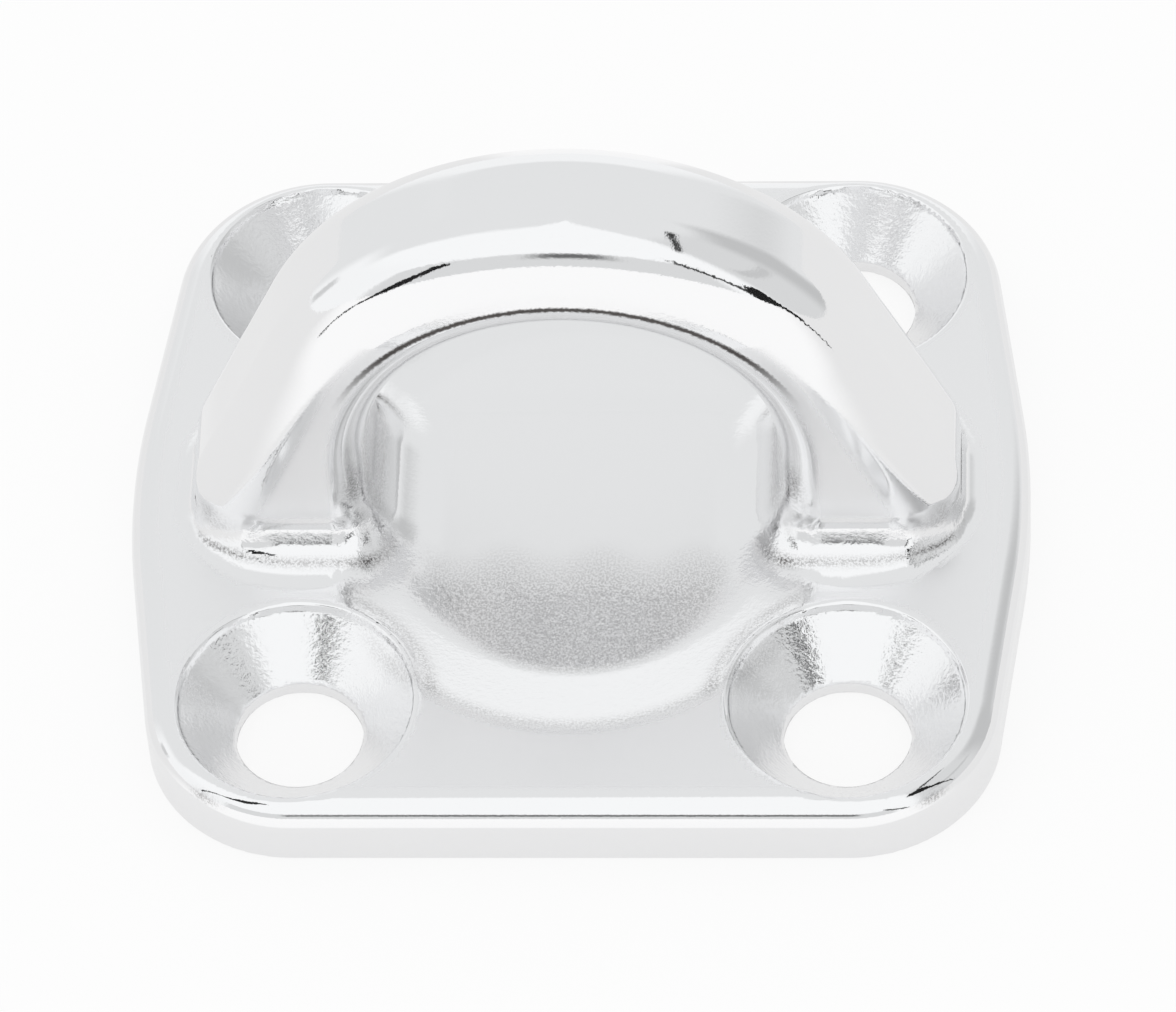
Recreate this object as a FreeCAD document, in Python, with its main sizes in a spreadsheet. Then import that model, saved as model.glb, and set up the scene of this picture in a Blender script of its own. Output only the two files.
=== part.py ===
# A square pad eye for a deck: one casting, a dished plate with a bail standing across it.
# Millimetres, +Z up, +X along the bail, origin at the centre of the flat underside.
import FreeCAD, Part
import math
import os
import Sketcher

# Driving dimensions. Each one can be changed by itself.
SIZES = {
    # Plate, seen from above: straight front and back edges, sides bent at the middle.
    "plate_width": 60.0,
    "plate_length": 54.2,
    "plate_thickness": 5.3,
    "side_taper": 7.6,
    "side_bend_radius": 52.0,
    "corner_radius": 10.0,
    "top_round": 2.0,
    # Dish sunk into the top of the plate: a long round outline with sloping walls.
    "dish_rim_radius": 16.0,
    "dish_floor_radius": 12.0,
    "dish_offset": 4.4,
    "dish_depth": 1.1,
    "dish_floor_round": 6.0,
    "dish_rim_round": 4.0,
    # Four countersunk screw holes, each in a ring that keeps the full height of the plate.
    "hole_pitch_x": 36.0,
    "hole_pitch_y": 36.0,
    "hole_diameter": 8.4,
    "sink_diameter": 15.4,
    "sink_wall": 0.5,
    "sink_angle": 90.0,
    "sink_lip": 0.35,
    "ring_wall": 0.6,
    # Bail, seen from the front. Insets are measured in from the sides of the plate; the two
    # heights are of the arc centres above the plate.
    "bail_inset": 8.8,
    "bail_outer_height": 9.2,
    "leg_inset": 4.6,
    "knee_round": 6.0,
    "bail_thickness": 7.8,
    "bail_inner_height": 8.1,
    "flank_lean": 23.5,
    "bail_root": 4.4,
    # Section of the bail.
    "bail_width": 11.1,
    "crown_round": 4.2,
    "inner_round": 2.2,
    "foot_round": 2.5,
}
TOUCH = 0.001

doc = FreeCAD.newDocument("pad_eye")
sheet = doc.addObject("Spreadsheet::Sheet", "sizes")
for row, (name, value) in enumerate(SIZES.items(), start=1):
    sheet.set("A%d" % row, name)
    sheet.set("B%d" % row, str(value))
    sheet.setAlias("B%d" % row, name)
doc.recompute()


def origin_plane(body, role):
    return next(item for item in body.Origin.OriginFeatures if item.Role == role)


def new_sketch(body, name, role, lift=None):
    sketch = body.newObject("Sketcher::SketchObject", name)
    sketch.AttachmentSupport = (origin_plane(body, role), "")
    sketch.MapMode = "FlatFace"
    if lift:
        sketch.setExpression("AttachmentOffset.Base.z", lift)
    return sketch


def hold(sketch, *rules):
    for rule in rules:
        sketch.addConstraint(Sketcher.Constraint(*rule))


def drive(sketch, expression, *rule):
    index = sketch.addConstraint(Sketcher.Constraint(*rule))
    sketch.setExpression("Constraints[%d]" % index, expression)


def line(x0, y0, x1, y1):
    return Part.LineSegment(FreeCAD.Vector(x0, y0, 0), FreeCAD.Vector(x1, y1, 0))


def circle(x, y, radius):
    return Part.Circle(FreeCAD.Vector(x, y, 0), FreeCAD.Vector(0, 0, 1), radius)


def arc(x, y, radius, start, end):
    return Part.ArcOfCircle(circle(x, y, radius), math.radians(start), math.radians(end))


def edge_names(feature, wanted):
    edges = enumerate(feature.Shape.Edges, start=1)
    return ["Edge%d" % number for number, edge in edges if wanted(edge)]


def round_off(body, name, base, size, wanted):
    fillet = body.newObject("PartDesign::Fillet", name)
    fillet.Base = (base, edge_names(base, wanted))
    fillet.setExpression("Radius", "sizes." + size)
    doc.recompute()
    return fillet


# Plate: a six-sided outline padded up, its corners and side bends rounded in plan,
# and its whole top edge rounded over.
half_length = SIZES["plate_length"] / 2
taper = math.radians(SIZES["side_taper"])
bend_x = SIZES["plate_width"] / 2 + SIZES["side_bend_radius"] * (1 / math.cos(taper) - 1)
corner_x = bend_x - half_length * math.tan(taper)
top = SIZES["plate_thickness"]

body = doc.addObject("PartDesign::Body", "PadEye")
body.Label = "pad_eye"
outline = new_sketch(body, "PlateOutline", "XY_Plane")
corners = [
    (-corner_x, -half_length),
    (corner_x, -half_length),
    (bend_x, 0),
    (corner_x, half_length),
    (-corner_x, half_length),
    (-bend_x, 0),
]
for start, end in zip(corners, corners[1:] + corners[:1]):
    outline.addGeometry(line(*start, *end), False)
for side in range(6):
    hold(outline, ("Coincident", side, 2, (side + 1) % 6, 1))
hold(outline,
     ("Symmetric", 0, 1, 0, 2, -2),
     ("Symmetric", 3, 1, 3, 2, -2),
     ("Symmetric", 0, 2, 3, 1, -1),
     ("Symmetric", 1, 2, 4, 2, -2),
     ("PointOnObject", 1, 2, -1))
drive(outline, "sizes.plate_length", "DistanceY", 0, 2, 3, 1, 2 * half_length)
drive(outline, "(90 - sizes.side_taper) * 1 deg", "Angle", 1, math.pi / 2 - taper)
drive(outline,
      "sizes.plate_width + 2 * sizes.side_bend_radius * (1 / cos(sizes.side_taper * 1 deg) - 1)",
      "DistanceX", 4, 2, 1, 2, 2 * bend_x)

plate = body.newObject("PartDesign::Pad", "Plate")
plate.Profile = outline
plate.setExpression("Length", "sizes.plate_thickness")
doc.recompute()


def is_upright(edge):
    box = edge.BoundBox
    return box.ZLength > top - TOUCH and box.XLength < TOUCH and box.YLength < TOUCH


def is_corner(edge):
    return is_upright(edge) and abs(edge.BoundBox.YMin) > half_length - TOUCH


def is_side_bend(edge):
    return is_upright(edge) and abs(edge.BoundBox.YMin) < TOUCH


def is_level(edge, height):
    box = edge.BoundBox
    return abs(box.ZMin - height) < TOUCH and abs(box.ZMax - height) < TOUCH


plan_corners = round_off(body, "PlanCorners", plate, "corner_radius", is_corner)
side_bends = round_off(body, "SideBends", plan_corners, "side_bend_radius", is_side_bend)
round_off(body, "TopRound", side_bends, "top_round", lambda edge: is_level(edge, top))


# Dish: a loft from its rim down to its smaller floor, eased at both edges as cast.
def stadium(name, lift, radius_name):
    sketch = new_sketch(body, name, "XY_Plane", lift)
    radius = SIZES[radius_name]
    offset = SIZES["dish_offset"]
    sketch.addGeometry(arc(0, offset, radius, 0, 180), False)
    sketch.addGeometry(line(-radius, offset, -radius, -offset), False)
    sketch.addGeometry(arc(0, -offset, radius, 180, 360), False)
    sketch.addGeometry(line(radius, -offset, radius, offset), False)
    hold(sketch,
         ("Tangent", 0, 2, 1, 1),
         ("Tangent", 1, 2, 2, 1),
         ("Tangent", 2, 2, 3, 1),
         ("Tangent", 3, 2, 0, 1),
         ("Equal", 0, 2),
         ("Symmetric", 0, 3, 2, 3, -1, 1))
    drive(sketch, "sizes." + radius_name, "Radius", 0, radius)
    drive(sketch, "2 * sizes.dish_offset", "DistanceY", 2, 3, 0, 3, 2 * offset)
    return sketch


def is_dish_rim(edge):
    reach_x = SIZES["dish_rim_radius"] + TOUCH
    reach_y = reach_x + SIZES["dish_offset"]
    box = edge.BoundBox
    inside = max(box.XMax, -box.XMin) < reach_x and max(box.YMax, -box.YMin) < reach_y
    return is_level(edge, top) and inside


floor = top - SIZES["dish_depth"]
dish = body.newObject("PartDesign::SubtractiveLoft", "Dish")
dish.Profile = (stadium("DishRim", "sizes.plate_thickness", "dish_rim_radius"), [""])
dish_floor = stadium("DishFloor", "sizes.plate_thickness - sizes.dish_depth", "dish_floor_radius")
dish.Sections = [(dish_floor, [""])]
dish.Ruled = True
doc.recompute()
floor_round = round_off(body, "DishFloorRound", dish, "dish_floor_round",
                        lambda edge: is_level(edge, floor))
round_off(body, "DishRimRound", floor_round, "dish_rim_round", is_dish_rim)


# Bail: the front profile padded both ways from the middle. The flanks lean in above the
# knees, which are rounded. The outer edges are rounded into a crown, the inner ones less.
OUTER = "(sizes.plate_width / 2 - sizes.bail_inset)"
INNER = "(sizes.plate_width / 2 - sizes.bail_inset - sizes.bail_thickness)"
LEG = "(sizes.plate_width / 2 - sizes.leg_inset)"
ROOT = "sizes.plate_thickness - sizes.bail_root"
bail_body = doc.addObject("PartDesign::Body", "Bail")
bail_body.Label = "bail_form"
profile = new_sketch(bail_body, "BailProfile", "XZ_Plane")
lean = SIZES["flank_lean"]
outer = SIZES["plate_width"] / 2 - SIZES["bail_inset"]
inner = outer - SIZES["bail_thickness"]
leg_x = SIZES["plate_width"] / 2 - SIZES["leg_inset"]
root = top - SIZES["bail_root"]
outer_z = top + SIZES["bail_outer_height"]
inner_z = top + SIZES["bail_inner_height"]
shoulder_x = outer * math.cos(math.radians(lean))
shoulder_z = outer_z + outer * math.sin(math.radians(lean))
knee_z = shoulder_z - (leg_x - shoulder_x) / math.tan(math.radians(lean))
profile.addGeometry(arc(0, outer_z, outer, lean, 180 - lean), False)
profile.addGeometry(line(-shoulder_x, shoulder_z, -leg_x, knee_z), False)
profile.addGeometry(line(-leg_x, knee_z, -leg_x, root), False)
profile.addGeometry(line(-leg_x, root, -inner, root), False)
profile.addGeometry(line(-inner, root, -inner, inner_z), False)
profile.addGeometry(arc(0, inner_z, inner, 0, 180), False)
profile.addGeometry(line(inner, inner_z, inner, root), False)
profile.addGeometry(line(inner, root, leg_x, root), False)
profile.addGeometry(line(leg_x, root, leg_x, knee_z), False)
profile.addGeometry(line(leg_x, knee_z, shoulder_x, shoulder_z), False)
hold(profile,
     ("Tangent", 0, 2, 1, 1),
     ("Coincident", 1, 2, 2, 1),
     ("Coincident", 2, 2, 3, 1),
     ("Coincident", 3, 2, 4, 1),
     ("Tangent", 4, 2, 5, 2),
     ("Tangent", 5, 1, 6, 1),
     ("Coincident", 6, 2, 7, 1),
     ("Coincident", 7, 2, 8, 1),
     ("Coincident", 8, 2, 9, 1),
     ("Tangent", 9, 2, 0, 1),
     ("Vertical", 2),
     ("Horizontal", 3),
     ("Vertical", 4),
     ("Vertical", 6),
     ("Horizontal", 7),
     ("Vertical", 8),
     ("PointOnObject", 0, 3, -2),
     ("PointOnObject", 5, 3, -2))
drive(profile, OUTER, "Radius", 0, outer)
drive(profile, INNER, "Radius", 5, inner)
drive(profile, LEG, "DistanceX", 2, 2, -1, 1, leg_x)
drive(profile, LEG, "DistanceX", -1, 1, 8, 1, leg_x)
drive(profile, "sizes.plate_thickness + sizes.bail_outer_height", "DistanceY", -1, 1, 0, 3, outer_z)
drive(profile, "sizes.plate_thickness + sizes.bail_inner_height", "DistanceY", -1, 1, 5, 3, inner_z)
drive(profile, ROOT, "DistanceY", -1, 1, 3, 1, root)
drive(profile, ROOT, "DistanceY", -1, 1, 7, 1, root)
drive(profile, "(90 + sizes.flank_lean) * 1 deg", "Angle", 9, math.radians(90 + lean))
drive(profile, "(270 - sizes.flank_lean) * 1 deg", "Angle", 1, math.radians(270 - lean))

bail = bail_body.newObject("PartDesign::Pad", "BailPad")
bail.Profile = profile
bail.SideType = "Symmetric"
bail.setExpression("Length", "sizes.bail_width")
doc.recompute()


def is_knee(edge):
    return is_level(edge, knee_z) and edge.BoundBox.XLength < TOUCH


knees = round_off(bail_body, "KneeRound", bail, "knee_round", is_knee)
half_bail = SIZES["bail_width"] / 2


def spans(edge, width):
    box = edge.BoundBox
    return box.YLength < width and not is_level(edge, root)


def reach(edge):
    return max(edge.BoundBox.XMax, -edge.BoundBox.XMin)


def is_outer(edge):
    return spans(edge, half_bail) and reach(edge) > inner + TOUCH


def is_inner(edge):
    return spans(edge, half_bail) and reach(edge) < inner + TOUCH


crown = round_off(bail_body, "CrownRound", knees, "crown_round", is_outer)
round_off(bail_body, "InnerRound", crown, "inner_round", is_inner)


# The bail is joined to the plate and a fillet is run round the foot of each leg.
joined = body.newObject("PartDesign::Boolean", "BailOnPlate")
joined.Type = "Fuse"
joined.Group = [bail_body]
doc.recompute()


def is_foot(edge):
    tall = [face.BoundBox.ZMax > top + 1 for face in joined.Shape.ancestorsOfType(edge, Part.Face)]
    return tall.count(True) == 1 and tall.count(False) == 1


round_off(body, "FootRound", joined, "foot_round", is_foot)


# Rings: each screw's seat keeps its full height where the dish and the rounded top edge
# would cut into it.
def four_circles(name, lift, diameter, value):
    sketch = new_sketch(body, name, "XY_Plane", lift)
    x = SIZES["hole_pitch_x"] / 2
    y = SIZES["hole_pitch_y"] / 2
    for centre_x, centre_y in ((-x, -y), (x, -y), (x, y), (-x, y)):
        sketch.addGeometry(circle(centre_x, centre_y, value / 2), False)
    hold(sketch,
         ("Symmetric", 0, 3, 1, 3, -2),
         ("Symmetric", 3, 3, 2, 3, -2),
         ("Symmetric", 1, 3, 2, 3, -1),
         ("Equal", 0, 1),
         ("Equal", 1, 2),
         ("Equal", 2, 3))
    drive(sketch, diameter, "Diameter", 0, value)
    drive(sketch, "sizes.hole_pitch_x", "DistanceX", 0, 3, 1, 3, 2 * x)
    drive(sketch, "sizes.hole_pitch_y", "DistanceY", 1, 3, 2, 3, 2 * y)
    return sketch


RING = "sizes.sink_diameter + 2 * sizes.ring_wall"
ring_diameter = SIZES["sink_diameter"] + 2 * SIZES["ring_wall"]
rings = body.newObject("PartDesign::Pad", "Rings")
rings.Profile = four_circles("RingCircles", "sizes.plate_thickness", RING, ring_diameter)
rings.Reversed = True
rings.setExpression("Length", "max(sizes.dish_depth; sizes.top_round)")
doc.recompute()


# Screw holes: a short straight wall under a broken edge, a cone for the screw's head
# and the clear hole.
def is_sink_rim(edge):
    round_edge = edge.Curve.TypeId == "Part::GeomCircle"
    return is_level(edge, top) and round_edge and abs(edge.Curve.Radius - sink_radius) < TOUCH


sink_radius = SIZES["sink_diameter"] / 2
sinks = body.newObject("PartDesign::Pocket", "SinkWalls")
sinks.Profile = four_circles("SinkCircles", "sizes.plate_thickness", "sizes.sink_diameter", 2 * sink_radius)
sinks.setExpression("Length", "sizes.sink_wall")
sink_floor = "sizes.plate_thickness - sizes.sink_wall"
holes = body.newObject("PartDesign::Hole", "ScrewHoles")
holes.Profile = four_circles("HoleCircles", sink_floor, "sizes.hole_diameter", SIZES["hole_diameter"])
doc.recompute()
holes.Threaded = False
holes.DepthType = "ThroughAll"
holes.HoleCutType = "Countersink"
holes.HoleCutCustomValues = True
holes.setExpression("Diameter", "sizes.hole_diameter")
holes.setExpression("HoleCutDiameter", "sizes.sink_diameter")
holes.setExpression("HoleCutCountersinkAngle", "sizes.sink_angle")
doc.recompute()
lips = body.newObject("PartDesign::Chamfer", "SinkLip")
lips.Base = (holes, edge_names(holes, is_sink_rim))
lips.setExpression("Size", "sizes.sink_lip")
doc.recompute()

failed = []
for item in doc.Objects:
    if "Invalid" in item.State or "Error" in item.State:
        failed.append(item.Name)
shape = body.Shape
if failed or shape.isNull() or not shape.isValid() or len(shape.Solids) != 1:
    raise RuntimeError("the pad eye did not build: %s" % failed)

os.makedirs("parts", exist_ok=True)
shape.exportStep("parts/%s.step" % body.Label)
print(body.Label, "volume", round(shape.Volume, 1), "faces", len(shape.Faces))
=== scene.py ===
import math

import bpy
import numpy as np
from mathutils import Matrix, Vector


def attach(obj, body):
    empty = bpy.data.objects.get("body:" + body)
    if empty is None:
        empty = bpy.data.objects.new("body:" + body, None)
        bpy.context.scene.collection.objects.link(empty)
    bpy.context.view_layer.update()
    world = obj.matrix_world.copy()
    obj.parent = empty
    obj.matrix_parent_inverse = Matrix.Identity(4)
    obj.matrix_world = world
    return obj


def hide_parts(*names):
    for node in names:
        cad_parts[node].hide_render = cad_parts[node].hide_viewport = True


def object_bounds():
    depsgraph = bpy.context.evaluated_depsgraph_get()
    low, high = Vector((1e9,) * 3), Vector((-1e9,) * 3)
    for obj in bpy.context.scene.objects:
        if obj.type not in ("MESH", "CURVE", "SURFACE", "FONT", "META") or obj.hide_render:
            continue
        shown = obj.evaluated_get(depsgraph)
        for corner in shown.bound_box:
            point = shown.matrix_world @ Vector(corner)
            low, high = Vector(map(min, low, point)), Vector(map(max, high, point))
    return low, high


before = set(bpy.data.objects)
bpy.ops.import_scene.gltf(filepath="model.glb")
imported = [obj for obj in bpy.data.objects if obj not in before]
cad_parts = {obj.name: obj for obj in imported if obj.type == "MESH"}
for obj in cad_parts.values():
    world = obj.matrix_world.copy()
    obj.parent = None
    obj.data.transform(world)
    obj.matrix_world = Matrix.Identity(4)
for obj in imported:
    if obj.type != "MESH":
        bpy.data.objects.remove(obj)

cad_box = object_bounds()


# The camera. The photograph was taken with a long lens from the front and well above,
# turned a few degrees to one side and tipped a few degrees. Its angles are in radians. All
# lengths are in millimetres, and the camera's aim is counted from the middle of the plate's top.
MM = 0.001
PHOTO_WIDTH = 1176
FOCAL_PIXELS = 7642.6
SENSOR_WIDTH = 36
PLATE_TOP = 5.3
ELEVATION, TURN, TIP = 0.9085, -0.0913, 0.0744
DISTANCE, AIM_RIGHT, AIM_UP = 509.0, 0.5665, -1.6905

level_up = Vector((0, math.sin(ELEVATION), math.cos(ELEVATION)))
level_right = Vector((1, 0, 0))
forward = Vector((0, math.cos(ELEVATION), -math.sin(ELEVATION)))
right = math.cos(TIP) * level_right - math.sin(TIP) * level_up
up = math.sin(TIP) * level_right + math.cos(TIP) * level_up
from_aim = AIM_RIGHT * right + AIM_UP * up - DISTANCE * forward
axes = Matrix((right, up, -forward)).transposed().to_4x4()
turned = Matrix.Translation((0, 0, PLATE_TOP * MM)) @ Matrix.Rotation(-TURN, 4, "Z")
lens = bpy.data.cameras.new("camera")
lens.sensor_fit = "HORIZONTAL"
lens.sensor_width = SENSOR_WIDTH
lens.lens = SENSOR_WIDTH * FOCAL_PIXELS / PHOTO_WIDTH
lens.clip_start = 0.01
camera = bpy.data.objects.new("camera", lens)
bpy.context.scene.collection.objects.link(camera)
camera.matrix_world = turned @ Matrix.Translation(from_aim * MM) @ axes
bpy.context.scene.camera = camera


# The casting: a square plate with round corners and a thick bail across it, in one piece of
# stainless steel. It is cast, then polished all over except in the dish and the screw seats.
# Its form is a field of distances to the surface, less than 0 in the metal, and a mesh round it.
HALF_WIDTH, HALF_LENGTH = 30.0, 27.1
SIDE_TAPER, SIDE_BEND, CORNER = math.radians(7.6), 52.0, 10.0
TOP_ROUND, UNDER_EDGE = 2.0, 0.25
DISH_RADIUS, DISH_OFFSET, DISH_DEPTH = 16.0, 4.4, 1.1
DISH_LEVEL, DISH_FALL, DISH_FALL_EASE = 7.8, math.tan(math.radians(5)), 1.0
DISH_SLOPE, DISH_RIM_EASE, DISH_FLOOR_EASE = 0.29, 0.2, 0.25
HOLE_X, HOLE_Y, HOLE_RADIUS = 18.0, 18.0, 4.2
SINK_RADIUS, SINK_WALL, SINK_LIP = 7.7, 0.55, 0.35
RING_RADIUS, RING_SLOPE, RING_EDGE, RING_BLEND = 8.2, 1.6, 0.25, 5
OUTER_RADIUS, OUTER_HEIGHT = 21.2, 9.2
INNER_RADIUS, INNER_HEIGHT = 13.4, 8.1
FLANK_LEAN, LEG_REACH, LEG_END, KNEE_EASE = math.radians(23.5), 25.4, 1.0, 0.5
BAIL_HALF, BAIL_DRAFT = 5.95, math.tan(math.radians(1.1))
BEVEL_ACROSS, BEVEL_DOWN = 2.1, 2.8
CROWN_EASE, SHOULDER_EASE, INNER_EASE = 1.18, 1.125, 3.0
FOOT_FILLET, INNER_FOOT_FILLET, OUTER_FOOT_FILLET = 3.8, 4.8, 1.6
INNER_FOOT_X, OUTER_FOOT_X = (13.5, 15.5), (22.0, 25.5)


def filleted(a, b, radius):
    """Joins two forms with a fillet in the corner between them."""
    corner = np.hypot(np.maximum(radius - a, 0), np.maximum(radius - b, 0))
    return np.maximum(radius, np.minimum(a, b)) - corner


def eased(a, b, radius):
    """Keeps what lies in both forms, with the edge between them rounded over."""
    edge = np.hypot(np.maximum(radius + a, 0), np.maximum(radius + b, 0))
    return np.minimum(-radius, np.maximum(a, b)) + edge


def bent_up(value, ease):
    """Zero below zero and the value above it, with the bend eased."""
    return np.where(abs(value) < ease, (value + ease) ** 2 / (4 * ease), np.maximum(value, 0))


def from_hole_centre(x, y):
    return np.hypot(abs(x) - HOLE_X, abs(y) - HOLE_Y)


def inside_dish_rim(x, y):
    return DISH_RADIUS - np.hypot(x, np.maximum(abs(y) - DISH_OFFSET, 0))


def plan_outline(x, y):
    """The plate seen from above: straight ends, sides bent at the middle, round corners."""
    x, y = abs(x), abs(y)
    out_x, out_y = math.cos(SIDE_TAPER), math.sin(SIDE_TAPER)
    bend_x = HALF_WIDTH - SIDE_BEND
    reach = out_x * bend_x + SIDE_BEND
    corner_y = HALF_LENGTH - CORNER
    corner_x = (reach - CORNER - out_y * corner_y) / out_x
    at_bend = y < math.tan(SIDE_TAPER) * (x - bend_x)
    side = np.where(at_bend, np.hypot(x - bend_x, y) - SIDE_BEND, out_x * x + out_y * y - reach)
    at_corner = (x > corner_x) & (out_x * (y - corner_y) > out_y * (x - corner_x))
    corner = np.hypot(x - corner_x, y - corner_y) - CORNER
    return np.where(at_corner, corner, np.maximum(side, y - HALF_LENGTH))


def dish_surface(x, y):
    """The height of the plate's top where the dish and the rings round the seats shape it."""
    ramp = bent_up(DISH_SLOPE * inside_dish_rim(x, y), DISH_RIM_EASE)
    floor = DISH_DEPTH + DISH_FALL * bent_up(abs(y) - DISH_LEVEL, DISH_FALL_EASE)
    dish = floor - bent_up(floor - ramp, DISH_FLOOR_EASE)
    ring = bent_up(RING_SLOPE * (from_hole_centre(x, y) - RING_RADIUS), RING_EDGE)
    dish, ring = np.maximum(dish, 1e-4), np.maximum(ring, 1e-4)
    return PLATE_TOP - (dish ** -RING_BLEND + ring ** -RING_BLEND) ** (-1 / RING_BLEND)


def bail(x, y, z):
    """The arch on its two leaning legs, bevelled and rounded along the outside."""
    x, y = abs(x), abs(y)
    outer_z = z - PLATE_TOP - OUTER_HEIGHT
    inner_z = z - PLATE_TOP - INNER_HEIGHT
    flank = math.cos(FLANK_LEAN) * x + math.sin(FLANK_LEAN) * outer_z
    on_flank = outer_z < math.tan(FLANK_LEAN) * x
    outer = np.where(on_flank, flank, np.hypot(x, outer_z)) - OUTER_RADIUS
    outer = eased(outer, x - LEG_REACH, KNEE_EASE)
    inner = np.where(inner_z > 0, np.hypot(x, inner_z), x) - INNER_RADIUS
    side = y - BAIL_HALF + BAIL_DRAFT * z
    slant = math.hypot(BEVEL_ACROSS, BEVEL_DOWN)
    bevel = (BEVEL_DOWN * (side + BEVEL_ACROSS) + BEVEL_ACROSS * outer) / slant
    section = eased(eased(outer, bevel, CROWN_EASE), side, SHOULDER_EASE)
    return np.maximum(eased(section, -inner, INNER_EASE), LEG_END - z)


def foot_radius(x):
    """The foot fillet is wide in the dish, under the arch, and narrow outside the legs."""
    inside = np.interp(abs(x), INNER_FOOT_X, (1, 0))
    outside = np.interp(abs(x), OUTER_FOOT_X, (0, 1))
    wider, narrower = INNER_FOOT_FILLET - FOOT_FILLET, OUTER_FOOT_FILLET - FOOT_FILLET
    return FOOT_FILLET + wider * inside + narrower * outside


def casting(x, y, z):
    """The distance to the surface of the whole casting."""
    plate = eased(plan_outline(x, y), z - PLATE_TOP, TOP_ROUND)
    plate = np.maximum(plate, z - dish_surface(x, y))
    form = filleted(plate, bail(x, y, z), foot_radius(x))
    form = eased(form, -z, UNDER_EDGE)
    from_hole = from_hole_centre(x, y)
    cone_foot = PLATE_TOP - SINK_WALL - SINK_RADIUS + HOLE_RADIUS
    cone = (from_hole - HOLE_RADIUS - z + cone_foot) * math.sqrt(0.5)
    screw = np.minimum(from_hole - HOLE_RADIUS, np.maximum(cone, from_hole - SINK_RADIUS))
    return eased(form, -screw, SINK_LIP)


def steepest(points, step):
    """The direction in which the distance grows, at each point."""
    rise = np.empty_like(points)
    for axis in range(3):
        shift = np.zeros(3)
        shift[axis] = step
        rise[:, axis] = casting(*(points + shift).T) - casting(*(points - shift).T)
    return rise / np.maximum(np.linalg.norm(rise, axis=1, keepdims=True), 1e-9)


# The mesh is a skin of four-sided faces over a grid of cells, one point in each cell that the
# surface crosses. Every crossing of a grid line gives the face of the four cells round it.
CELL = 0.34
SEARCHES, SEARCH_MARGIN = 3, 0.02
PLANE_STEP, FACING_STEP, LIP_FACING_STEP = 0.01, 0.03, 0.22
HOLD = 0.02
CELLS_ROUND = ((0, 0), (-1, 0), (-1, -1), (0, -1))


def crossings(grid, lines, axis):
    """Where the surface crosses the grid lines along one axis, closed in on from both ends."""
    first, second = [slice(None)] * 3, [slice(None)] * 3
    first[axis], second[axis] = slice(0, -1), slice(1, None)
    solid = grid < 0
    corner = np.argwhere(solid[tuple(first)] != solid[tuple(second)])
    near = np.stack([lines[k][corner[:, k]] for k in range(3)], axis=1)
    start = grid[tuple(corner.T)]
    end = grid[tuple((corner + np.eye(3, dtype=int)[axis]).T)]
    inside = start < 0
    low, high = np.zeros(len(start)), np.ones(len(start))
    share = start / (start - end)
    at = near.copy()
    for _ in range(SEARCHES):
        at[:, axis] = near[:, axis] + share * CELL
        value = casting(*at.T)
        same = (value < 0) == inside
        low, high = np.where(same, share, low), np.where(same, high, share)
        start, end = np.where(same, value, start), np.where(same, end, value)
        span = np.where(abs(start - end) < 1e-12, 1, start - end)
        share = low + (high - low) * np.clip(start / span, SEARCH_MARGIN, 1 - SEARCH_MARGIN)
    at[:, axis] = near[:, axis] + share * CELL
    return corner, at, inside


def skin(low, high):
    """The points and faces round the casting between two corners of its box. A cell's point is
    where the planes at its crossings meet, held to their middle where they hardly differ."""
    lines = [np.arange(a - 1.5 * CELL, b + 2.5 * CELL, CELL) for a, b in zip(low, high)]
    shape = tuple(len(line) for line in lines)
    grid = casting(*np.meshgrid(*lines, indexing="ij", sparse=True))
    strides = np.array((shape[1] * shape[2], shape[2], 1))
    rings, places = [], []
    for axis in range(3):
        corner, at, inside = crossings(grid, lines, axis)
        ring = []
        for offsets in CELLS_ROUND:
            cells = corner.copy()
            cells[:, [k for k in range(3) if k != axis]] += offsets
            ring.append(cells @ strides)
        rings.append((np.stack(ring, axis=1), inside != (axis == 1)))
        places.append(at)
    cells = np.concatenate([ring for ring, _ in rings])
    places = np.concatenate(places)
    normals = np.repeat(steepest(places, PLANE_STEP), len(CELLS_ROUND), axis=0)
    places = np.repeat(places, len(CELLS_ROUND), axis=0)

    used, index = np.unique(cells.ravel(), return_inverse=True)
    count = np.bincount(index)[:, None]
    middle = np.stack([np.bincount(index, places[:, k]) for k in range(3)], axis=1) / count
    offset = np.einsum("ij,ij->i", normals, places - middle[index])
    matrix, target = np.empty((len(used), 3, 3)), np.empty((len(used), 3, 1))
    for row in range(3):
        target[:, row, 0] = np.bincount(index, normals[:, row] * offset)
        for column in range(3):
            matrix[:, row, column] = np.bincount(index, normals[:, row] * normals[:, column])
    points = middle + np.linalg.solve(matrix + HOLD * np.eye(3), target)[:, :, 0]
    corner = np.stack(np.unravel_index(used, shape), axis=1)
    lowest = np.stack([lines[k][corner[:, k]] for k in range(3)], axis=1)
    points = np.clip(points, lowest, lowest + CELL)

    faces = []
    for ring, outward in rings:
        quads = np.searchsorted(used, ring)
        quads[~outward] = quads[~outward][:, ::-1]
        faces.append(quads)
    return points, np.concatenate(faces)


crown = PLATE_TOP + OUTER_HEIGHT + OUTER_RADIUS
points, faces = skin((-HALF_WIDTH, -HALF_LENGTH, 0), (HALF_WIDTH, HALF_LENGTH, crown))
for _ in range(2):
    off_surface = np.clip(casting(*points.T), -CELL / 3, CELL / 3)
    points -= steepest(points, PLANE_STEP) * off_surface[:, None]
points[:, 2] = np.clip(points[:, 2], 0, cad_box[1][2] / MM)
mesh = bpy.data.meshes.new("pad_eye_skin")
mesh.from_pydata((points * MM).tolist(), [], faces.tolist())
mesh.update()
mesh.shade_smooth()
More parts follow.
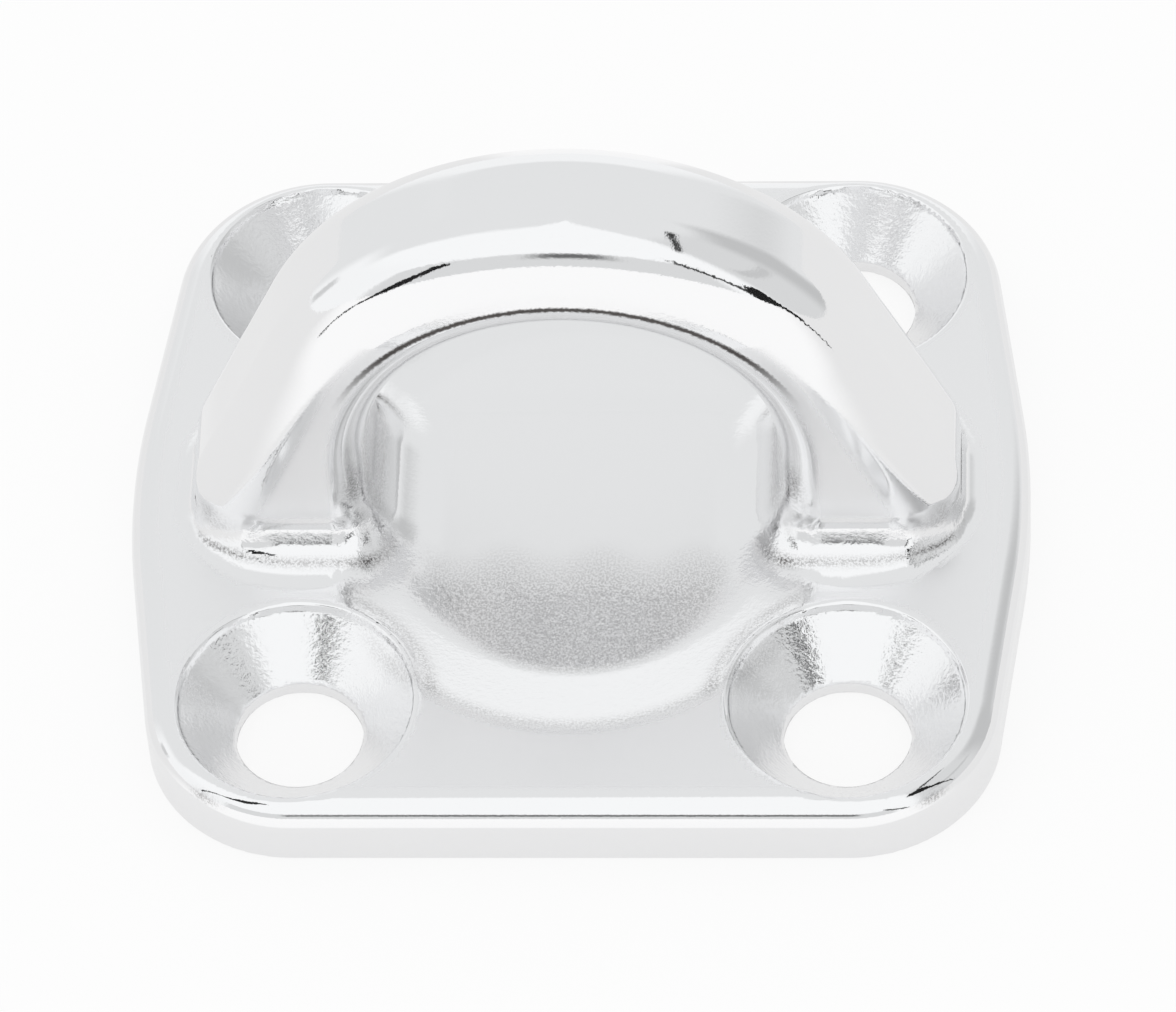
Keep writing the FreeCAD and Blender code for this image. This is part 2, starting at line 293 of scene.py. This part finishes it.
# The facing of each point is taken more widely on the thin lips of the seats.
x, y, z = points.T
facing = steepest(points, FACING_STEP)
from_hole = from_hole_centre(x, y)
on_lip = (abs(from_hole - SINK_RADIUS - 0.1) < 0.6) & (z > PLATE_TOP - SINK_WALL - 0.4)
facing[on_lip] = steepest(points[on_lip], LIP_FACING_STEP)
mesh.normals_split_custom_set_from_vertices(facing.tolist())
pad_eye = bpy.data.objects.new("pad_eye_casting", mesh)
bpy.context.scene.collection.objects.link(pad_eye)


def smooth(value, low, high):
    """0 below low, 1 above high, smooth between them."""
    share = np.clip((value - low) / (high - low), 0, 1)
    return share * share * (3 - 2 * share)


def bell(value, middle, width):
    return np.exp(-((value - middle) / width) ** 2)


def store(name, values):
    """Keeps one number at each point of the mesh, for the material to read."""
    mesh.attributes.new(name, "FLOAT", "POINT").data.foreach_set("value", values.astype(np.float32))


# How far each place is left as cast: the screw seats, the front end of the dish, and lines in
# the corner round the foot of each leg, where the polishing wheel does not reach. The angle
# round the fillet is 90 degrees at the plate, and sideways is 0 on the bail's front.
above = z - PLATE_TOP
inward = inside_dish_rim(x, y)
frontward = -y + 0.5 * np.sin(x)
seat_grain = 1 - smooth(from_hole, SINK_RADIUS - 0.1, SINK_RADIUS + 0.1)
in_dish = smooth(inward, -0.6, 0.6) * smooth(0.3 - above, 0, 0.25)
dish_grain = in_dish * (0.15 + 0.85 * smooth(frontward, 5.8, 8.6))
reach = foot_radius(x)
off_plate = z - np.minimum(PLATE_TOP, dish_surface(x, y))
off_bail = bail(x, y, z)
in_corner = (off_plate < reach) & (off_bail < reach) & (off_bail > -0.05)
round_fillet = np.degrees(np.arctan2(reach - off_plate, np.maximum(reach - off_bail, 1e-6)))
sideways = np.degrees(np.arctan2(abs(facing[:, 0]), abs(facing[:, 1])))
lower_line = bell(round_fillet, 54, 4.5) * (1 - smooth(sideways, 55, 72))
upper_line = bell(round_fillet, 29, 7) * (1 - smooth(sideways, 10, 25))
leg_corner = 0.8 * smooth(sideways, 20, 35) * (1 - smooth(sideways, 70, 85))
foot_grain = in_corner * np.maximum(np.maximum(lower_line, upper_line), leg_corner)
store("grain", np.maximum(np.maximum(seat_grain, dish_grain), foot_grain))

# Where the colour is darkened with painted shade and painted dark reflections, speckled: in the
# foot corners, most of all at the corners of the legs, above them on the inner edges and the knees,
# along the front rim and the floor of the dish, beside the rings, at the front corners of the plate
# and a little on the inner faces of the eye.
from_middle = abs(x)
at_corner = bell(sideways, 42, 15)
foot_shade = in_corner * lower_line * (0.42 + 0.6 * at_corner)
on_edge = (from_middle > 10) & (from_middle < 17)
edge_shade = 0.55 * at_corner * smooth(above, 3.6, 5) * (1 - smooth(above, 6, 9)) * on_edge
on_knee = (from_middle > 20) & (off_bail < 0.3)
knee_shade = 0.35 * at_corner * smooth(above, 1.2, 1.8) * (1 - smooth(above, 2.6, 4)) * on_knee
rim_shade = 0.2 * bell(inward, 0.4, 0.5) * smooth(-y, 10, 14) * (above < 0.1)
ring_shade = 0.3 * bell(from_hole, SINK_RADIUS + 1.2, 0.5) * in_dish
on_floor = (above < -0.5) & (off_bail > 2)
floor_shade = 0.35 * smooth(inward, 5, 6.5) * smooth(frontward, 4, 8.6) * on_floor
round_plate = np.degrees(np.arctan2(from_middle - 20, abs(y) - 17))
on_front_corner = (from_hole > SINK_RADIUS + 0.4) & (y < 0)
plate_shade = 0.7 * bell(round_plate, 24, 6) * bell(above, -1.1, 0.22) * on_front_corner
in_eye = smooth(abs(facing[:, 0]), 0.8, 0.95) * smooth(above, 0, 2) * (1 - smooth(above, 9, 14))
in_eye *= from_middle < 16
painted_shade = 0.3 * in_eye + foot_shade + edge_shade + knee_shade
painted_shade += rim_shade + ring_shade + floor_shade + plate_shade
store("painted_shade", np.clip(painted_shade, 0, 1))

# The flat of the plate, the middle of the dish and the fronts and inner sides of the legs are
# polished on a belt and are satin; the round parts are buffed bright.
flat_top = smooth(facing[:, 2], 0.985, 0.999) * (above < 0.1) * (z > 3)
flat_front = smooth(abs(facing[:, 1]), 0.97, 0.995) * (above > 2) * (z < 26)
store("satin", np.maximum(np.maximum(flat_top, flat_front), in_eye))
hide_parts("pad_eye")
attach(pad_eye, "root")


class Value:
    """A socket of a material, or of the world, that takes part in sums."""
    tree = None

    def __init__(self, socket):
        self.socket = socket

    @classmethod
    def node(cls, kind, settings=None, **inputs):
        """Adds a node. An input is given by its name, or by its number after the letter i."""
        made = cls.tree.nodes.new(kind)
        for name, setting in (settings or {}).items():
            setattr(made, name, setting)
        for name, value in inputs.items():
            by_number = name[0] == "i" and name[1:].isdigit()
            socket = made.inputs[int(name[1:]) if by_number else name.replace("_", " ")]
            if isinstance(value, Value):
                cls.tree.links.new(value.socket, socket)
            else:
                socket.default_value = value
        return made

    @classmethod
    def math(cls, operation, *values):
        inputs = {"i%d" % i: value for i, value in enumerate(values)}
        return cls(cls.node("ShaderNodeMath", {"operation": operation}, **inputs).outputs[0])

    def __add__(self, other):
        return self.math("ADD", self, other)

    def __radd__(self, other):
        return self.math("ADD", other, self)

    def __sub__(self, other):
        return self.math("SUBTRACT", self, other)

    def __rsub__(self, other):
        return self.math("SUBTRACT", other, self)

    def __mul__(self, other):
        return self.math("MULTIPLY", self, other)

    def __rmul__(self, other):
        return self.math("MULTIPLY", other, self)

    def __truediv__(self, other):
        return self.math("DIVIDE", self, other)

    def __pow__(self, other):
        return self.math("POWER", self, other)

    def __abs__(self):
        return self.math("ABSOLUTE", self)

    def step(self, low, high):
        """0 below low, 1 above high, smooth between them."""
        settings = {"interpolation_type": "SMOOTHSTEP", "clamp": True}
        made = self.node("ShaderNodeMapRange", settings, Value=self, From_Min=low, From_Max=high)
        return Value(made.outputs[0])

    def between(self, low, high, soft):
        """1 between low and high, with soft ends."""
        return self.step(low - soft, low + soft) * (1 - self.step(high - soft, high + soft))

    def past(self, edge):
        """How far it is past an edge, or 0."""
        return self.math("MAXIMUM", self - edge, 0)


def start_tree(owner):
    """Empties the nodes of a material or of the world, to fill them anew."""
    owner.use_nodes = True
    owner.node_tree.nodes.clear()
    Value.tree = owner.node_tree


def finish_tree(kind, shader):
    Value.tree.links.new(shader.outputs[0], Value.node(kind).inputs["Surface"])


def split(vector):
    """The three parts of a place or a direction: east, north and height."""
    made = Value.node("ShaderNodeSeparateXYZ", None, Vector=vector)
    return [Value(part) for part in made.outputs]


# The steel: buffed bright, satin on the flats, and grainy where it is left as cast. Depths are
# in millimetres.
STEEL = 0.92
BUFFED_ROUGHNESS, ADDED_BY_GRAIN, ADDED_BY_SATIN = 0.045, 0.1, 0.24
COARSE_DEPTH, FINE_DEPTH, POLISHED_DEPTH, WAVE_DEPTH = 0.02, 0.025, 0.003, 0.003
# How dark the painted shade and the painted dark reflection along the arch make the steel's colour.
PAINTED_SHADE_DARKNESS, LINE_DARKNESS = 0.92, 0.9

steel = bpy.data.materials.new("cast_stainless")
start_tree(steel)
place = Value(Value.node("ShaderNodeTexCoord").outputs["Object"])


def stored(name):
    return Value(Value.node("ShaderNodeAttribute", {"attribute_name": name}).outputs["Fac"])


def speckle(size, detail, rough):
    """Noise whose grains are about this size, in millimetres."""
    inputs = {"Scale": 1 / MM / size, "Detail": detail, "Roughness": rough}
    return Value(Value.node("ShaderNodeTexNoise", None, Vector=place, **inputs).outputs["Fac"])


grain, painted_shade, satin = stored("grain"), stored("painted_shade"), stored("satin")
coarse, fine, waves = speckle(0.5, 2, 0.5), speckle(0.26, 2, 0.6), speckle(6, 2, 0.5)
relief = (coarse * COARSE_DEPTH + fine * FINE_DEPTH) * grain
relief = (relief + fine * POLISHED_DEPTH * (1 - grain) + waves * WAVE_DEPTH) * MM
bump = Value.node("ShaderNodeBump", None, Strength=1.0, Distance=1.0, Height=relief)
roughness = BUFFED_ROUGHNESS + ADDED_BY_GRAIN * grain + ADDED_BY_SATIN * satin * (1 - grain)
# The colour is darkened by the painted shade, and by a painted dark reflection: a line along the front
# edge of the arch.
east, north, height = split(place)
over_centre = (height / MM).past(PLATE_TOP + INNER_HEIGHT)
from_centre = ((east / MM) ** 2 + over_centre ** 2) ** 0.5 + fine * 0.3
edge = INNER_RADIUS + INNER_EASE
line = from_centre.between(edge - 0.05, edge + 0.35, 0.12)
line = line * over_centre.step(6, 12) * abs(north / MM).step(3, 4)
speckled_shade = painted_shade * (0.25 + 0.75 * speckle(0.15, 3, 0.75).step(0.45, 0.55))
dark = Value.math("MAXIMUM", speckled_shade * PAINTED_SHADE_DARKNESS, line * LINE_DARKNESS)
red, green, blue = (STEEL * (1 - dark * share) for share in (1, 1.01, 1.02))
colour = Value(Value.node("ShaderNodeCombineColor", None, i0=red, i1=green, i2=blue + 0.005).outputs[0])
finish = {"Base_Color": colour, "Roughness": roughness, "Normal": Value(bump.outputs[0])}
surface = Value.node("ShaderNodeBsdfPrincipled", None, Metallic=1.0, **finish)
finish_tree("ShaderNodeOutputMaterial", surface)
mesh.materials.append(steel)


# The table: a plain white sheet that the part lies on. Its light as the polished steel mirrors it is
# painted: lighter in front and behind, greyer at the sides, with a painted shadow close to the plate.
def shade(value):
    """The light that the steel shows as this shade of grey, of 255."""
    return ((value / 255 + 0.055) / 1.055) ** 2.4 / STEEL


def over(before, value, mask):
    """Lays a shade of grey over what was there before, where the mask is 1."""
    return before + (shade(value) - before) * mask


TABLE_SIZE, BELOW_PART = 3, 0.00002
PLATE_REACH = 28
TABLE_SHARE_MIRRORED, TABLE_SHARE_SEEN = 0.75, 0.85

bpy.ops.mesh.primitive_plane_add(size=TABLE_SIZE, location=(0, 0, -BELOW_PART))
floor = bpy.context.object
floor.name = "floor"
white = bpy.data.materials.new("white_table")
start_tree(white)
east, north, _ = split(Value(Value.node("ShaderNodeTexCoord").outputs["Object"]))
bearing = Value.math("ARCTAN2", east, 0 - north) * math.degrees(1)
# How far a place is from the plate, in millimetres, by way of a square with rounded corners.
outline = abs(east / (HALF_WIDTH * MM)) ** 6 + abs(north / (HALF_LENGTH * MM)) ** 6
beside_plate = (outline ** (1 / 6) - 1) * PLATE_REACH
table = over(east * 0, 228, 1)
table = over(table, 254, bearing.between(-55, 48, 8))
table = over(table, 248, abs(bearing).step(165, 172) * (north / MM).step(40, 50))
# A painted shadow: the table as the steel mirrors it is greyer within a few millimetres of the plate.
table = over(table, 234, 1 - beside_plate.step(3.2, 4.6))
path = Value.node("ShaderNodeLightPath")
paper = Value.node("ShaderNodeBsdfDiffuse", None, Color=(0.9, 0.9, 0.9, 1))
shown = Value.node("ShaderNodeEmission", None, Color=(1, 1, 1, 1), Strength=table)
glow = Value.node("ShaderNodeEmission", None, Color=(1, 1, 1, 1), Strength=1.0)


def mixed(share, first, second):
    """The first shader, with this share of the second in its place."""
    shaders = {"i1": Value(first.outputs[0]), "i2": Value(second.outputs[0])}
    return Value.node("ShaderNodeMixShader", None, i0=share, **shaders)


mirrored = mixed(Value(path.outputs["Is Glossy Ray"]) * TABLE_SHARE_MIRRORED, paper, shown)
seen = mixed(Value(path.outputs["Is Camera Ray"]) * TABLE_SHARE_SEEN, mirrored, glow)
finish_tree("ShaderNodeOutputMaterial", seen)
floor.data.materials.append(white)


# Two flags of black cloth stand on edge near the front corners, outside the picture. They are
# seen only in the steel, as dark lines. Each has a foot, a direction in degrees, and an outline
# of places along that direction and heights.
FLAGS = (
    ((-51.1, -43.8), -43, (
        (-4.7, 10), (-4, 14.5), (-3, 17.5), (-1.8, 20.5), (0.1, 23.5), (3.4, 26.5), (6, 29.5),
        (8.2, 32.5), (9.7, 35.5), (12.2, 38.5), (14.3, 41.5), (17, 47.5), (21, 50), (24, 47.5),
        (20.5, 41.5), (19, 38.5), (17.8, 35.5), (16.2, 32.5), (14, 29.5), (8, 26.8), (1.8, 23.5),
        (0, 20.5), (-1.9, 17.5), (-2.8, 14.5), (-3.7, 10))),
    ((45.6, -46.8), 38, (
        (16.4, 8), (15.1, 11.5), (13.9, 14.5), (12.2, 17.5), (10.9, 20.5), (8.7, 23.5),
        (5.9, 26.5), (-1.5, 28.5), (-3.2, 31), (-2.6, 34), (-1.4, 37), (0, 39.5), (6.5, 40),
        (8, 37), (8, 34.5), (8.8, 31.5), (9.2, 29), (11.8, 26.5), (12.6, 23.5), (13.6, 20.5),
        (14, 17.5), (15, 14.5), (16.1, 11.5), (17.6, 8))),
)
black = bpy.data.materials.new("black_flag")
start_tree(black)
cloth = Value.node("ShaderNodeBsdfDiffuse", None, Color=(0.02, 0.02, 0.02, 1))
finish_tree("ShaderNodeOutputMaterial", cloth)
for number, ((foot_x, foot_y), degrees, outline) in enumerate(FLAGS):
    run = Vector((math.cos(math.radians(degrees)), math.sin(math.radians(degrees)), 0))
    corners = [(Vector((foot_x, foot_y, z)) + along * run) * MM for along, z in outline]
    sheet = bpy.data.meshes.new("flag_sheet_%d" % number)
    sheet.from_pydata(corners, [], [list(range(len(corners)))])
    sheet.materials.append(black)
    flag = bpy.data.objects.new("flag_%d" % number, sheet)
    bpy.context.scene.collection.objects.link(flag)
    flag.visible_camera = False
    flag.visible_diffuse = False
    flag.visible_shadow = False


# The room: soft white light from all round. The steel shows it greyer above, behind and on the
# right, with a few dark places low in front and at the sides, where it is open. Bearings are
# degrees from straight in front, to the right, and rises are degrees above the table.
room_light = bpy.data.worlds.new("room")
bpy.context.scene.world = room_light
start_tree(room_light)
east, north, height = split(Value(Value.node("ShaderNodeTexCoord").outputs["Generated"]))
bearing = Value.math("ARCTAN2", east, 0 - north) * math.degrees(1) + math.degrees(TURN)
rise = Value.math("ARCSINE", height) * math.degrees(1)
room = over(east * 0, 226, 1)
# The foot of the back wall, the open front of the ceiling, and the left wall below it.
room = over(room, 242, abs(bearing).step(140, 160) * (1 - rise.step(26, 36)))
falls_left = 0.016 * (0 - bearing).past(45) ** 2
ceiling = 68 + 22 * bearing.between(-32, 12, 24) - falls_left - bearing.past(25)
room = over(room, 247, (ceiling - rise).step(-6, 6) * bearing.between(-92, 40, 6))
room = over(room, 244, bearing.between(-112, -50, 9) * (1 - rise.step(20, 34)))
# The right wall with its darker end, the dark edge of the ceiling above it, and a grey rail.
open_end = 1 - bearing.step(104, 122) * (1 - rise.step(1, 16))
wall_top = rise - 56 + 0.3 * bearing.past(80)
right_wall = bearing.step(38, 46) * (1 - bearing.step(104, 136)) * (1 - wall_top.step(-7, 4))
room = over(room, 214, open_end * right_wall)
room = over(room, 192, open_end * bearing.between(88, 124, 9) * (1 - rise.step(36, 52)))
arc = rise - 57 + 0.0085 * (0 - bearing).past(-82) ** 2
room = over(room, 60, arc.between(-1.6, 1.6, 0.8) * bearing.between(38, 84, 4))
room = over(room, 196, rise.between(22, 27, 1.5) * bearing.between(50, 84, 5))
# Low in front: a grey strip above the table, with dark places in the middle and on both sides.
room = over(room, 216, rise.between(-4, 17, 1.5) * bearing.between(-50, 24, 3))
room = over(room, 105, rise.between(9, 16, 2.5) * bearing.between(-13, 1, 4))
room = over(room, 205, rise.between(0, 11, 2) * bearing.between(-105, -97, 2))
fold = rise - 17 + 1.15 * (bearing - 19)
room = over(room, 50, fold.between(-2.2, 2.2, 1) * bearing.between(17.5, 31.5, 1.5))
colour = Value.node("ShaderNodeCombineColor", None, i0=room * 0.99, i1=room, i2=room * 1.005)
plain = Value.node("ShaderNodeBackground", None, Color=(1, 1, 1, 1), Strength=1.0)
light = Value.node("ShaderNodeBackground", None, Color=Value(colour.outputs[0]), Strength=1.0)
in_steel = Value(Value.node("ShaderNodeLightPath").outputs["Is Glossy Ray"])
finish_tree("ShaderNodeOutputWorld", mixed(in_steel, plain, light))
bpy.context.scene.view_settings.view_transform = "Standard"
